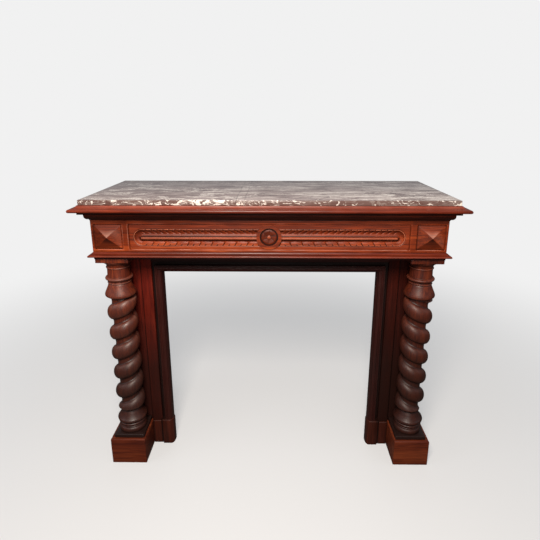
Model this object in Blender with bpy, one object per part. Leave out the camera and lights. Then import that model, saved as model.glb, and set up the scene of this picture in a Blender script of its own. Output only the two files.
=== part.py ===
"""Fireplace mantel: a walnut surround with two barley-twist columns under a marble shelf.

Metres, +Z up. +X is to the right of someone who faces the mantel, +Y points to the wall behind
it. The origin is on the floor, under the middle of the mantel's box. Three sides of the head
(front, left, right) carry the same mouldings, mitred at the corners, and the wall side is open.
"""

from math import cos, pi, sin, sqrt, tau

import bmesh
import bpy

# Overall sizes
HEIGHT = 1.080            # floor to the top of the marble
FRIEZE_WIDTH = 1.240      # across the frieze, corner to corner
BODY_DEPTH = 0.444        # frieze face to the wall
FIT = 0.0003              # gap left between pieces that touch
EASE = 0.0012             # small chamfer on a board's edges

# Marble shelf
MARBLE_THICK = 0.018
MARBLE_OVERHANG = 0.0245  # past the frieze face, on the front and both ends

# Head of the mantel, from the marble down
CORNICE_HEIGHT = 0.057
CORNICE_OVERHANG = 0.052
CORNICE_TOP_OVERHANG = 0.028
LIP_RADIUS = 0.0045       # rounded nose of the cornice
DRIP_OVERHANG = 0.029     # upper step, under the nose
DRIP_HEIGHT = 0.0134
FASCIA_OVERHANG = 0.0145  # lower step, above the quarter round
FASCIA_HEIGHT = 0.0081
FILLET_OVERHANG = 0.001   # flat strip between the quarter round and the frieze
FILLET_HEIGHT = 0.0035
FRIEZE_HEIGHT = 0.114
BED_HEIGHT = 0.0205       # moulding under the frieze
BED_OVERHANG = 0.016
BED_NOSE = 0.004          # radius of that moulding's nose
BED_NOSE_LIFT = 0.006     # middle of the nose above the moulding's bottom
BED_COVE_SHARE = 0.8      # how far out the cove starts, as a share of the nose
SOFFIT_THICK = 0.0082
BOARD = 0.024             # frieze boards and the backing of the mouldings

# Sunk fields of the frieze
FIELD_TOP_MARGIN = 0.0125
FIELD_BOTTOM_MARGIN = 0.0065
END_STRIP = 0.0056        # from the corner to the diamond's field
DIAMOND_FIELD = 0.104
STILE = 0.0188            # between the diamond's field and the long one
FIELD_CHAMFER = 0.003
DIAMOND_SINK = 0.004
DIAMOND_BORDER = 0.0015   # flat left around the foot of the diamond
DIAMOND_PROUD = 0.0145    # point of the diamond, in front of the frieze face
PANEL_SINK = 0.0045
PANEL_THICK = 0.011

# Carved band on the long panel: a sunk stadium with a gouged roll round a middle bead
BAND_MARGIN = 0.0126      # from the rails to the band
BAND_SINK = 0.0042
ROLL_START = 0.0045       # the roll lies between these two distances from the band's edge
ROLL_END = 0.0195
ROLL_SHARE = 0.92         # height of the roll and of the bead, as shares of the band's depth
BEAD_SHARE = 0.55
BEAD_HALF = 0.0040
BAND_START = 0.0010       # from the roundel to the band, and the band's ramp down
BAND_RAMP = 0.0030
GOUGE_FIRST = 0.0140      # from the band's start to its first gouge
GOUGE_PITCH = 0.0417
GOUGE_HALF = 0.0018
GOUGE_LEFT = 0.35         # share of the roll's height left in a gouge
GOUGE_LEAN = 0.0068       # how far a gouge leans towards the roundel, each side of its middle

# Roundel in the middle of the frieze
ROUNDEL_RING = 0.0125     # width of its flat ring
ROUNDEL_BELOW = 0.0008    # ring's face, behind the frieze face
ROUNDEL_EASE = 0.0007     # its rounded arrises
ROSETTE_GAP = 0.0032      # hollow between the ring and the petals
HOLLOW_WEB = 0.0008       # wood left at the back of the hollow
PETALS = 8
PETAL_RISE = 0.0042
PETAL_WAVE = 0.0016
BUD_RADIUS = 0.0065
BUD_RISE = 0.0050

# Columns, in one piece with the square pad under them and the square abacus on them
COLLAR_RADIUS = 0.0560    # widest turned ring of the head. The other turned sizes follow it
ABACUS_MARGIN = 0.0030    # abacus and pad, past the collar
ABACUS_THICK = 0.015
ABACUS_INSET = 0.001      # from the end of the frieze
COLUMN_BACK = 0.062       # axis, behind the frieze face
CREST_STEP = 0.0015       # crest of the strand, in from the collar
STRAND_HEIGHT = 0.0200    # from the core to the crest
STRAND_SHARE = 0.36       # half the strand's width, as a share of the pitch
TWIST_PITCH = 0.0849
TWIST_FADE = 0.010        # length in which the strand dies into the collar
STRAND_PHASE = {-1: 0.79, 1: 0.93}   # where a strand meets the outer side under the collar
ROUND_SIDES = 16
LEVELS_PER_TURN = 10

# Turned ends of a column. Radii are given in from the collar's
FOOT_RADIUS_CUT = 0.0087  # grooves between the beads of the foot
FOOT_BEADS = ((0.0115, 0.0060, 0.0035), (0.0242, 0.0052, 0.0055), (0.0355, 0.0050, 0.0055))
FOOT_TURNING = ((0.0455, 0.0026), (0.0535, -0.0004), (0.0615, 0.0018), (0.0705, 0.0082),
                (0.0805, 0.0160), (0.0905, 0.0200))
OVOLO_TURNING = ((0.0, -0.0015), (0.0045, 0.0005), (0.0105, 0.0085), (0.0175, 0.0138))
NECK_CUT = 0.0158
NECK_SWELL = 0.0010       # the neck widens a little towards the astragal
NECK_FOOT = 0.0630
UPPER_BEAD = (0.0286, 0.0034, 0.0130)
ASTRAGAL = (0.0710, 0.0068, 0.0065)
LOWER_BEAD = (0.0880, 0.0028, 0.0133)
COLLAR_TURNING = ((0.0950, 0.0146), (0.1070, 0.0095), (0.1205, 0.0025), (0.1308, 0.0),
                  (0.1395, 0.0015), (0.1445, 0.0070), (0.1470, 0.0200))

# Plinth blocks, past the pads they carry
PLINTH_HEIGHT = 0.1103
PLINTH_OUTER_MARGIN = 0.0137
PLINTH_INNER_MARGIN = 0.0058
PLINTH_FRONT_MARGIN = 0.010
PLINTH_EASE = 0.005

# Jambs, lintel and the moulding round the opening
JAMB_THICK = 0.022
COLUMN_CLEAR = 0.0005     # between the columns and the boards behind them
RETURN_INSET = 0.0005     # outer face of the side boards, in from the frieze's end
PILASTER_STEP = 0.0095    # pilaster's face, in front of the boards behind the columns
PILASTER_WIDTH = 0.0406
LINTEL_HEIGHT = 0.0458
SURROUND_PROUD = 0.008    # the moulding's face, in front of the pilasters
SURROUND_FLAT = 0.016     # its flat face
SURROUND_ROUND = 0.014    # its rounded edge, across
SURROUND_ROUND_DEEP = 0.027
SURROUND_REBATE = 0.0135  # sunk strip outside the flat face
SURROUND_REBATE_DEEP = 0.020
SURROUND_THICK = 0.034
FOOT_HEIGHT = 0.1080
FOOT_PROUD = 0.005
INNER_FOOT_HEIGHT = 0.1150
INNER_FOOT_PROUD = 0.003
FOOT_GROOVE = 0.006       # gap between the pilaster's foot and the inner foot

# Levels and planes worked out from the sizes above
MARBLE_BOTTOM = HEIGHT - MARBLE_THICK
FRIEZE_TOP = MARBLE_BOTTOM - CORNICE_HEIGHT
FRIEZE_BOTTOM = FRIEZE_TOP - FRIEZE_HEIGHT
BED_BOTTOM = FRIEZE_BOTTOM - BED_HEIGHT
SOFFIT_BOTTOM = BED_BOTTOM - SOFFIT_THICK
HALF = FRIEZE_WIDTH / 2
FACE_Y = (CORNICE_OVERHANG - BODY_DEPTH) / 2
WALL_Y = FACE_Y + BODY_DEPTH
FIELD_TOP = FRIEZE_TOP - FIELD_TOP_MARGIN
FIELD_BOTTOM = FRIEZE_BOTTOM + FIELD_BOTTOM_MARGIN
FIELD_MIDDLE = (FIELD_TOP + FIELD_BOTTOM) / 2
ROUNDEL_RADIUS = (FIELD_TOP - FIELD_BOTTOM) / 2 - FIELD_CHAMFER - FIT
ROSETTE_RADIUS = ROUNDEL_RADIUS - ROUNDEL_RING - ROSETTE_GAP
BAND_RADIUS = ROUNDEL_RADIUS - BAND_MARGIN
DIAMOND_X = HALF - END_STRIP - DIAMOND_FIELD / 2
PANEL_FIELD_HALF = HALF - END_STRIP - DIAMOND_FIELD - STILE
ABACUS_HALF = COLLAR_RADIUS + ABACUS_MARGIN
CORE_RADIUS = COLLAR_RADIUS - CREST_STEP - STRAND_HEIGHT
COLUMN_X = HALF - ABACUS_INSET - ABACUS_HALF
PAD_TOP = PLINTH_HEIGHT + FIT + ABACUS_THICK
ABACUS_BOTTOM = SOFFIT_BOTTOM - FIT - ABACUS_THICK
PLINTH_OUTER = COLUMN_X + ABACUS_HALF + PLINTH_OUTER_MARGIN
PLINTH_INNER = COLUMN_X - ABACUS_HALF - PLINTH_INNER_MARGIN
BACK_BOARD_Y = FACE_Y + COLUMN_BACK + ABACUS_HALF + COLUMN_CLEAR
PILASTER_Y = BACK_BOARD_Y - PILASTER_STEP
PILASTER_OUTER = PLINTH_INNER - FIT
PILASTER_INNER = PILASTER_OUTER - PILASTER_WIDTH
SURROUND_WIDTH = SURROUND_ROUND + SURROUND_FLAT + SURROUND_REBATE
SURROUND_Y = PILASTER_Y - SURROUND_PROUD
OPENING_HALF = PILASTER_INNER - FIT - SURROUND_WIDTH
OPENING_TOP = SOFFIT_BOTTOM - LINTEL_HEIGHT - SURROUND_WIDTH


def finish(name, colour, roughness):
    """One Principled material for one sub-part."""
    material = bpy.data.materials.new(name)
    material.use_nodes = True
    shader = material.node_tree.nodes["Principled BSDF"]
    shader.inputs["Base Color"].default_value = (*colour, 1.0)
    shader.inputs["Roughness"].default_value = roughness
    return material


def walnut(name):
    return finish(f"walnut_{name}", (0.135, 0.040, 0.022), 0.35)


def marble(name):
    return finish(f"marble_{name}", (0.245, 0.165, 0.160), 0.18)


def add_object(name, bm, material, smooth=False):
    """Put a closed bmesh into the scene as one object, faces outward."""
    bmesh.ops.recalc_face_normals(bm, faces=bm.faces)
    mesh = bpy.data.meshes.new(name)
    bm.to_mesh(mesh)
    bm.free()
    mesh.materials.append(material)
    if smooth:
        mesh.shade_smooth()
        mesh.set_sharp_from_angle(angle=pi / 5)
    item = bpy.data.objects.new(name, mesh)
    bpy.context.scene.collection.objects.link(item)
    return item


def board(name, low, high, material, ease=0.0):
    """A box from its lowest to its highest corner, with chamfered edges."""
    bm = bmesh.new()
    corners = [(x, y, z) for z in (low[2], high[2]) for y in (low[1], high[1])
               for x in (low[0], high[0])]
    verts = [bm.verts.new(corner) for corner in corners]
    for quad in ((0, 1, 3, 2), (4, 5, 7, 6), (0, 1, 5, 4), (2, 3, 7, 6), (0, 2, 6, 4), (1, 3, 7, 5)):
        bm.faces.new([verts[i] for i in quad])
    bmesh.ops.recalc_face_normals(bm, faces=bm.faces)
    if ease:
        bmesh.ops.bevel(bm, geom=bm.edges[:], offset=ease, segments=1, affect="EDGES")
    return add_object(name, bm, material)


def skin(rings):
    """A tube through rings of equal count, with a flat cap on each end."""
    bm = bmesh.new()
    rows = [[bm.verts.new(point) for point in ring] for ring in rings]
    count = len(rows[0])
    for lower, upper in zip(rows, rows[1:]):
        for i in range(count):
            j = (i + 1) % count
            bm.faces.new((lower[i], lower[j], upper[j], upper[i]))
    bm.faces.new(rows[0])
    bm.faces.new(rows[-1])
    return bm


def arc(centre, radius, start, end, steps):
    """Points on an arc, angles in degrees."""
    turn = [(start + (end - start) * i / steps) * pi / 180 for i in range(steps + 1)]
    return [(centre[0] + radius * cos(t), centre[1] + radius * sin(t)) for t in turn]


def cornice_profile():
    """Section of the cornice as (out from the frieze face, height), from the bottom up."""
    base = FRIEZE_TOP + FIT
    top = MARBLE_BOTTOM - FIT
    quarter = FASCIA_OVERHANG - FILLET_OVERHANG
    quarter_base = base + FILLET_HEIGHT
    drip = quarter_base + quarter + FASCIA_HEIGHT
    lip_out = CORNICE_OVERHANG - LIP_RADIUS
    lip_level = drip + DRIP_HEIGHT + LIP_RADIUS
    cove_base = lip_level + LIP_RADIUS
    cove_out = lip_out - LIP_RADIUS / 2
    cove_run = cove_out - CORNICE_TOP_OVERHANG
    turns = [i * pi / 8 for i in range(5)]
    points = [(-BOARD, base), (FILLET_OVERHANG, base)]
    points += [(FILLET_OVERHANG + quarter * sin(t), quarter_base + quarter * (1 - cos(t)))
               for t in turns]
    points += [(FASCIA_OVERHANG, drip), (DRIP_OVERHANG, drip), (DRIP_OVERHANG, drip + DRIP_HEIGHT)]
    points += arc((lip_out, lip_level), LIP_RADIUS, -90, 90, 6)
    points += [(cove_out - cove_run * sin(t), cove_base + (top - cove_base) * (1 - cos(t)))
               for t in turns]
    points.append((-BOARD, top))
    return points


def bed_profile():
    """Section of the moulding under the frieze, from its bottom up."""
    base = BED_BOTTOM + FIT
    top = FRIEZE_BOTTOM - FIT
    nose_out = BED_OVERHANG - BED_NOSE
    nose_level = base + BED_NOSE_LIFT
    cove_base = nose_level + BED_NOSE + FILLET_OVERHANG
    points = [(-BOARD, base), (0.0, base), (BED_NOSE, base + FILLET_OVERHANG / 2)]
    points += arc((nose_out, nose_level), BED_NOSE, -75, 90, 5)
    points += [(nose_out * BED_COVE_SHARE * (1 - sin(t)), cove_base + (top - cove_base) * (1 - cos(t)))
               for t in (0, pi / 6, pi / 3, pi / 2)]
    points.append((-BOARD, top))
    return points


def front_moulding(name, profile, material):
    """A moulding along the front, mitred outward at both corners."""
    rings = [[(side * (HALF + out), FACE_Y - out, z) for out, z in profile] for side in (-1, 1)]
    return add_object(name, skin(rings), material)


def side_moulding(name, profile, side, material):
    """The same moulding from the front corner back to the wall."""
    front = [(side * (HALF + out), FACE_Y - out + FIT, z) for out, z in profile]
    back = [(side * (HALF + out), WALL_Y, z) for out, z in profile]
    return add_object(name, skin([front, back]), material)


def side_name(side):
    return "left" if side < 0 else "right"


def make_shelf():
    reach = HALF + MARBLE_OVERHANG
    board("marble_top", (-reach, FACE_Y - MARBLE_OVERHANG, MARBLE_BOTTOM), (reach, WALL_Y, HEIGHT),
          marble("top"), ease=0.0015)


def make_mouldings():
    for label, profile in (("cornice", cornice_profile()), ("bed_moulding", bed_profile())):
        front_moulding(f"{label}_front", profile, walnut(f"{label}_front"))
        for side in (-1, 1):
            name = f"{label}_{side_name(side)}"
            side_moulding(name, profile, side, walnut(name))
    board("soffit_board", (-HALF, FACE_Y, SOFFIT_BOTTOM),
          (HALF, BACK_BOARD_Y - FIT, BED_BOTTOM), walnut("soffit_board"), ease=EASE)


def sunk_field(target, low, high, depth, place):
    """Cut a field with sloping sides into a board.

    low and high are its corners on the board's face, as (along, height), and place(along, sunk,
    height) gives the point in space.
    """
    slope_end = min(depth, DIAMOND_SINK)
    levels = [(-slope_end, -FIELD_CHAMFER), (slope_end, FIELD_CHAMFER)]
    if depth > slope_end:
        levels.append((depth, FIELD_CHAMFER))
    rings = []
    for sunk, inset in levels:
        along = (low[0] + inset, high[0] - inset)
        height = (low[1] + inset, high[1] - inset)
        corners = ((0, 0), (1, 0), (1, 1), (0, 1))
        rings.append([place(along[a], sunk, height[b]) for a, b in corners])
    name = f"field_cutter_{len(bpy.data.objects)}"
    cutter = add_object(name, skin(rings), target.data.materials[0])
    cutter.hide_render = True
    cutter.display_type = "WIRE"
    cut = target.modifiers.new("field", "BOOLEAN")
    cut.operation = "DIFFERENCE"
    cut.solver = "EXACT"
    cut.object = cutter


def make_frieze():
    """The front board with its three sunk fields, and the side boards with one each."""
    low_z = FRIEZE_BOTTOM + FIT
    high_z = FRIEZE_TOP - FIT
    front = board("frieze_front", (-HALF, FACE_Y, low_z), (HALF, FACE_Y + BOARD, high_z),
                  walnut("frieze_front"))

    def on_front(along, sunk, height):
        return (along, FACE_Y + sunk, height)

    for side in (-1, 1):
        low = (side * DIAMOND_X - DIAMOND_FIELD / 2, FIELD_BOTTOM)
        high = (side * DIAMOND_X + DIAMOND_FIELD / 2, FIELD_TOP)
        sunk_field(front, low, high, DIAMOND_SINK, on_front)
    sunk_field(front, (-PANEL_FIELD_HALF, FIELD_BOTTOM), (PANEL_FIELD_HALF, FIELD_TOP),
               PANEL_SINK + PANEL_THICK + FIT, on_front)
    for side in (-1, 1):
        name = f"frieze_{side_name(side)}"
        start = FACE_Y + BOARD + FIT
        inner, outer = sorted((side * (HALF - BOARD), side * HALF))
        plain = board(name, (inner, start, low_z), (outer, WALL_Y, high_z), walnut(name))
        margin = FIELD_TOP_MARGIN * 2

        def on_side(along, sunk, height, side=side):
            return (side * (HALF - sunk), along, height)

        sunk_field(plain, (start + margin, FIELD_BOTTOM), (WALL_Y - margin, FIELD_TOP),
                   DIAMOND_SINK, on_side)


def make_diamonds():
    """Four-sided points standing in the square fields."""
    shrink = FIELD_CHAMFER + DIAMOND_BORDER
    half_x = DIAMOND_FIELD / 2 - shrink
    half_z = (FIELD_TOP - FIELD_BOTTOM) / 2 - shrink
    floor_y = FACE_Y + DIAMOND_SINK - FIT
    rim = DIAMOND_BORDER
    for side in (-1, 1):
        bm = bmesh.new()
        rows = []
        for y in (floor_y, floor_y - rim):
            rows.append([bm.verts.new((side * DIAMOND_X + a * half_x, y, FIELD_MIDDLE + b * half_z))
                         for a, b in ((-1, -1), (1, -1), (1, 1), (-1, 1))])
        tip = bm.verts.new((side * DIAMOND_X, FACE_Y - DIAMOND_PROUD, FIELD_MIDDLE))
        bm.faces.new(rows[0])
        for i in range(4):
            j = (i + 1) % 4
            bm.faces.new((rows[0][i], rows[0][j], rows[1][j], rows[1][i]))
            bm.faces.new((rows[1][i], rows[1][j], tip))
        name = f"diamond_{side_name(side)}"
        add_object(name, bm, walnut(name))


def roll_height(offset):
    """Relief of the band above its sunk floor, by distance from the band's outer edge."""
    if offset <= ROLL_START:
        return 0.0
    if offset < ROLL_END:
        place = 2 * (offset - ROLL_START) / (ROLL_END - ROLL_START) - 1
        return BAND_SINK * ROLL_SHARE * sqrt(max(0.0, 1 - place * place))
    if offset <= BAND_RADIUS - BEAD_HALF:
        return 0.0
    return BAND_SINK * BEAD_SHARE


def band_stations(reach):
    """Places round the stadium as (x of the centre, normal, lean, kind).

    kind is "flat" beside the roundel, "gouge" in the middle of a cut, and else "plain".
    """
    start = ROUNDEL_RADIUS + BAND_START
    run = [(start, 0.0, "flat"), (start + BAND_RAMP, 0.0, "plain")]
    place = start + GOUGE_FIRST
    while place < reach - GOUGE_LEAN - 3 * GOUGE_HALF:
        run.append((place - GOUGE_HALF, 1.0, "plain"))
        run.append((place, 1.0, "gouge"))
        run.append((place + GOUGE_HALF, 1.0, "plain"))
        place += GOUGE_PITCH
    run.append((reach, 0.0, "plain"))
    stations = []
    for half, vertical in ((-1, 1), (1, 1), (1, -1), (-1, -1)):
        away = half * vertical > 0
        for x, lean, kind in run if away else run[::-1]:
            stations.append((half * x, (0.0, vertical), -half * lean, kind))
        if away:
            for i in range(1, 8):
                t = vertical * (pi / 2 - i * pi / 8)
                stations.append((half * reach, (half * abs(cos(t)), sin(t)), 0.0, "plain"))
    return stations


def make_panel():
    """The long panel, with the gouged roll and the bead cut into its face."""
    half_x = PANEL_FIELD_HALF - FIELD_CHAMFER - FIT
    low = FIELD_BOTTOM + FIELD_CHAMFER + FIT
    high = FIELD_TOP - FIELD_CHAMFER - FIT
    face = FACE_Y + PANEL_SINK
    reach = half_x - BAND_MARGIN - BAND_RADIUS
    roll_middle = (ROLL_START + ROLL_END) / 2
    roll_shoulder = (ROLL_END - ROLL_START) * 0.3
    bead_edge = BAND_RADIUS - BEAD_HALF
    offsets = [0.0, ROLL_START / 2, ROLL_START, roll_middle - roll_shoulder, roll_middle,
               roll_middle + roll_shoulder, ROLL_END, bead_edge, bead_edge + BEAD_HALF * 0.3]
    stations = band_stations(reach)

    def edge_point(x, normal):
        if normal[0] == 0.0:
            return (x, high if normal[1] > 0 else low)
        side = 1 if normal[0] > 0 else -1
        span = (high - low) / 2
        rise = normal[1] / max(abs(normal[0]), abs(normal[1]))
        run = normal[0] / max(abs(normal[0]), abs(normal[1]))
        return (side * reach + run * (half_x - reach), (high + low) / 2 + rise * span)

    bm = bmesh.new()
    rows = [[], []]
    for x, normal, lean, _ in stations:
        px, pz = edge_point(x - lean * GOUGE_LEAN, normal)
        rows[0].append(bm.verts.new((px, face + PANEL_THICK, pz)))
        rows[1].append(bm.verts.new((px, face, pz)))
    for offset in offsets:
        share = min(1.0, max(-1.0, (offset - roll_middle) / (ROLL_END - roll_middle)))
        out = BAND_RADIUS - offset
        on_roll = ROLL_START < offset < ROLL_END
        row = []
        for x, normal, lean, kind in stations:
            left = GOUGE_LEFT if kind == "gouge" and on_roll else 1.0
            level = offset == 0.0 or kind == "flat"
            sunk = 0.0 if level else BAND_SINK - roll_height(offset) * left
            row.append(bm.verts.new((x + lean * GOUGE_LEAN * share + normal[0] * out, face + sunk,
                                     FIELD_MIDDLE + normal[1] * out)))
        rows.append(row)
    count = len(stations)
    for outer, inner in zip(rows, rows[1:]):
        for i in range(count):
            j = (i + 1) % count
            bm.faces.new((outer[i], outer[j], inner[j], inner[i]))
    close_bead(bm, rows[-1], stations)
    bm.faces.new(rows[0])
    add_object("frieze_panel", bm, walnut("frieze_panel"))


def close_bead(bm, row, stations):
    """Join the upper and lower edge of the middle bead, station against station."""
    upper = [i for i, s in enumerate(stations) if s[1] == (0.0, 1)]
    lower = [i for i, s in enumerate(stations) if s[1] == (0.0, -1)][::-1]
    for (a, b), (c, d) in zip(zip(upper, upper[1:]), zip(lower, lower[1:])):
        bm.faces.new((row[a], row[b], row[d], row[c]))
    count = len(row)
    right = [row[i] for i in range(upper[-1], lower[-1] + 1)]
    left = [row[i % count] for i in range(lower[0], count + upper[0] + 1)]
    bm.faces.new(right)
    bm.faces.new(left)


def make_roundel():
    """A turned disc with a flat ring, and a flower of petals round a bud in its hollow."""
    steps = 4 * PETALS
    back = FACE_Y + PANEL_SINK - FIT
    ring_face = FACE_Y + ROUNDEL_BELOW
    hollow = back - HOLLOW_WEB
    inner = ROUNDEL_RADIUS - ROUNDEL_RING
    section = [(ROUNDEL_RADIUS, back, 0), (ROUNDEL_RADIUS, ring_face + ROUNDEL_EASE, 0),
               (ROUNDEL_RADIUS - ROUNDEL_EASE, ring_face, 0), (inner + ROUNDEL_EASE, ring_face, 0),
               (inner - ROUNDEL_EASE, hollow, 0), (ROSETTE_RADIUS, hollow, 0)]
    for width, rise, wave in ((0.92, 0.52, 0.88), (0.68, 1.0, 1.0), (0.36, 0.72, 0.62)):
        section.append((ROSETTE_RADIUS * width, hollow - PETAL_RISE * rise, PETAL_WAVE * wave))
    for width, rise in ((1.0, 0.32), (0.75, 0.76), (0.35, 1.0)):
        section.append((BUD_RADIUS * width, hollow - BUD_RISE * rise, 0))
    rings = []
    for radius, y, wave in section:
        ring = []
        for i in range(steps):
            t = tau * i / steps
            lift = wave * (abs(cos(PETALS * t / 2)) - 0.5)
            ring.append((radius * cos(t), y - lift, FIELD_MIDDLE + radius * sin(t)))
        rings.append(ring)
    add_object("roundel", skin(rings), walnut("roundel"), smooth=True)


def bead(middle, half, cut, foot):
    """A turned bead: its foot at both edges and full in the middle."""
    radius = COLLAR_RADIUS - cut
    shoulder = foot + (radius - foot) * 0.75
    return [(middle - half, foot), (middle - half * 0.65, shoulder), (middle, radius),
            (middle + half * 0.65, shoulder), (middle + half, foot)]


def turned(table):
    return [(place, COLLAR_RADIUS - cut) for place, cut in table]


def base_section():
    """Turned foot of a column, as (height above the pad, radius), up to where the twist starts."""
    groove = COLLAR_RADIUS - FOOT_RADIUS_CUT
    points = [(0.0, groove)]
    for middle, half, cut in FOOT_BEADS:
        points += bead(middle, half, cut, groove)
    return points + turned(FOOT_TURNING)


def head_section():
    """Turned head of a column, as (depth under the abacus, radius), from the abacus down."""
    neck = COLLAR_RADIUS - NECK_CUT
    points = turned(OVOLO_TURNING) + bead(*UPPER_BEAD, neck)
    points += [(NECK_FOOT, neck + NECK_SWELL)] + bead(*ASTRAGAL, neck - NECK_SWELL)
    return points + bead(*LOWER_BEAD, neck - NECK_SWELL) + turned(COLLAR_TURNING)


def strand(phase):
    """Height of the strand by phase: 1 on its crest, 0 on the bare core."""
    place = (phase + 0.5) % 1.0 - 0.5
    return sqrt(max(0.0, 1 - (place / STRAND_SHARE) ** 2))


def make_column(side):
    """Pad, turned base, barley twist, collar, neck and abacus in one piece of wood."""
    axis_y = FACE_Y + COLUMN_BACK
    angles = [tau * i / ROUND_SIDES for i in range(ROUND_SIDES)]
    base = [(PAD_TOP + up, radius) for up, radius in base_section()]
    head = [(ABACUS_BOTTOM - down, radius) for down, radius in reversed(head_section())]
    bottom, top = base[-1][0], head[0][0]
    levels = round((top - bottom) / TWIST_PITCH * LEVELS_PER_TURN)

    def ring(z, radii):
        return [(side * (COLUMN_X - r * cos(t)), axis_y + r * sin(t), z)
                for r, t in zip(radii, angles)]

    def square(z, half):
        return ring(z, [half / max(abs(cos(t)), abs(sin(t))) for t in angles])

    def slab(low, high):
        soft = ABACUS_HALF - EASE
        return [square(low, soft), square(low + EASE, ABACUS_HALF),
                square(high - EASE, ABACUS_HALF), square(high, soft)]

    def twisted(z):
        share = min(1.0, (top - z) / TWIST_FADE, (z - bottom) / TWIST_FADE / 2)
        phases = [(z - top) / TWIST_PITCH - t / tau + STRAND_PHASE[side] + 0.5 for t in angles]
        return ring(z, [CORE_RADIUS + share * STRAND_HEIGHT * strand(p) for p in phases])

    rings = slab(PLINTH_HEIGHT + FIT, PAD_TOP)
    rings += [ring(z, [radius] * ROUND_SIDES) for z, radius in base]
    rings += [twisted(bottom + (top - bottom) * i / levels) for i in range(1, levels)]
    rings += [ring(z, [radius] * ROUND_SIDES) for z, radius in head]
    rings += slab(ABACUS_BOTTOM, SOFFIT_BOTTOM - FIT)
    name = f"column_{side_name(side)}"
    add_object(name, skin(rings), walnut(name), smooth=True)


def make_plinth(side):
    """The block under a column, its top edge rounded over."""
    inner, outer = sorted((side * PLINTH_INNER, side * PLINTH_OUTER))
    front = FACE_Y + COLUMN_BACK - ABACUS_HALF - PLINTH_FRONT_MARGIN
    back = BACK_BOARD_Y - FIT
    rings = []
    for inset, z in ((EASE, 0.0), (0.0, EASE), (0.0, PLINTH_HEIGHT - PLINTH_EASE),
                     (PLINTH_EASE * 0.3, PLINTH_HEIGHT - PLINTH_EASE * 0.3),
                     (PLINTH_EASE, PLINTH_HEIGHT)):
        rings.append([(inner + inset, front + inset, z), (outer - inset, front + inset, z),
                      (outer - inset, back, z), (inner + inset, back, z)])
    name = f"plinth_{side_name(side)}"
    add_object(name, skin(rings), walnut(name))


def make_jamb(side):
    """Boards behind a column, its pilaster, and the side board back to the wall."""
    label = side_name(side)
    outer = HALF - RETURN_INSET
    inner = outer - JAMB_THICK
    pilaster_back = PILASTER_Y + JAMB_THICK
    boards = (
        ("return_board", inner, outer, BACK_BOARD_Y, WALL_Y, 0.0, BED_BOTTOM, EASE),
        ("back_board", PLINTH_INNER, inner - FIT, BACK_BOARD_Y, BACK_BOARD_Y + JAMB_THICK,
         0.0, BED_BOTTOM, 0.0),
        ("pilaster", PILASTER_INNER, PILASTER_OUTER, PILASTER_Y, pilaster_back,
         FOOT_HEIGHT + FIT, SOFFIT_BOTTOM - FIT, EASE),
        ("pilaster_foot", PILASTER_INNER + FOOT_GROOVE, PILASTER_OUTER, PILASTER_Y - FOOT_PROUD,
         pilaster_back, 0.0, FOOT_HEIGHT, 2 * EASE),
    )
    for label_part, near, far, front, back, low, high, ease in boards:
        name = f"{label_part}_{label}"
        x0, x1 = sorted((side * near, side * far))
        board(name, (x0, front, low), (x1, back, high), walnut(name), ease=ease)


def surround_profile(proud=0.0, rebate=True):
    """Section of the moulding round the opening: (out from the opening's edge, y)."""
    back = SURROUND_Y + SURROUND_THICK
    front = SURROUND_Y - proud
    flat_end = SURROUND_ROUND + SURROUND_FLAT
    points = [(-proud, back)]
    points += [(SURROUND_ROUND * (1 - cos(t)) - proud, front + SURROUND_ROUND_DEEP * (1 - sin(t)))
               for t in (0, pi / 8, pi / 4, 3 * pi / 8, pi / 2)]
    if rebate:
        sunk = SURROUND_Y + SURROUND_REBATE_DEEP
        return points + [(flat_end, front), (flat_end, sunk), (SURROUND_WIDTH, sunk),
                         (SURROUND_WIDTH, back)]
    return points + [(SURROUND_WIDTH, front), (SURROUND_WIDTH, back)]


def make_surround():
    """The moulding round three sides of the opening, mitred, with a foot under each upright."""
    profile = surround_profile()
    for side in (-1, 1):
        name = f"surround_{side_name(side)}"
        ends = [[(side * (OPENING_HALF + out), y, low + slope * out) for out, y in profile]
                for low, slope in ((INNER_FOOT_HEIGHT + FIT, 0), (OPENING_TOP - FIT, 1))]
        add_object(name, skin(ends), walnut(name))
        name = f"surround_foot_{side_name(side)}"
        soft = 2 * EASE
        rings = [[(side * (OPENING_HALF + out), y, z)
                  for out, y in surround_profile(proud=proud, rebate=False)]
                 for proud, z in ((INNER_FOOT_PROUD, 0.0), (INNER_FOOT_PROUD, INNER_FOOT_HEIGHT - soft),
                                  (INNER_FOOT_PROUD - soft, INNER_FOOT_HEIGHT))]
        add_object(name, skin(rings), walnut(name))
    head = [[(side * (OPENING_HALF + out), y, OPENING_TOP + out) for out, y in profile]
            for side in (-1, 1)]
    add_object("surround_top", skin(head), walnut("surround_top"))
    reach = PILASTER_INNER - FIT
    board("lintel", (-reach, PILASTER_Y, OPENING_TOP + SURROUND_WIDTH + FIT),
          (reach, PILASTER_Y + JAMB_THICK, SOFFIT_BOTTOM - FIT), walnut("lintel"))


def make_mantel():
    make_shelf()
    make_mouldings()
    make_frieze()
    make_diamonds()
    make_panel()
    make_roundel()
    for side in (-1, 1):
        make_column(side)
        make_plinth(side)
        make_jamb(side)
    make_surround()


for old in list(bpy.data.objects):
    bpy.data.objects.remove(old, do_unlink=True)
make_mantel()
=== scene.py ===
"""Looks of the fireplace mantel: its carved, turned and moulded walnut and its marble shelf.

Metres, +Z up, the mantel faces -Y. Every piece is a surface computed from a short formula and put
in the place of the solid that it refines, at that solid's own size.
"""

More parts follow.
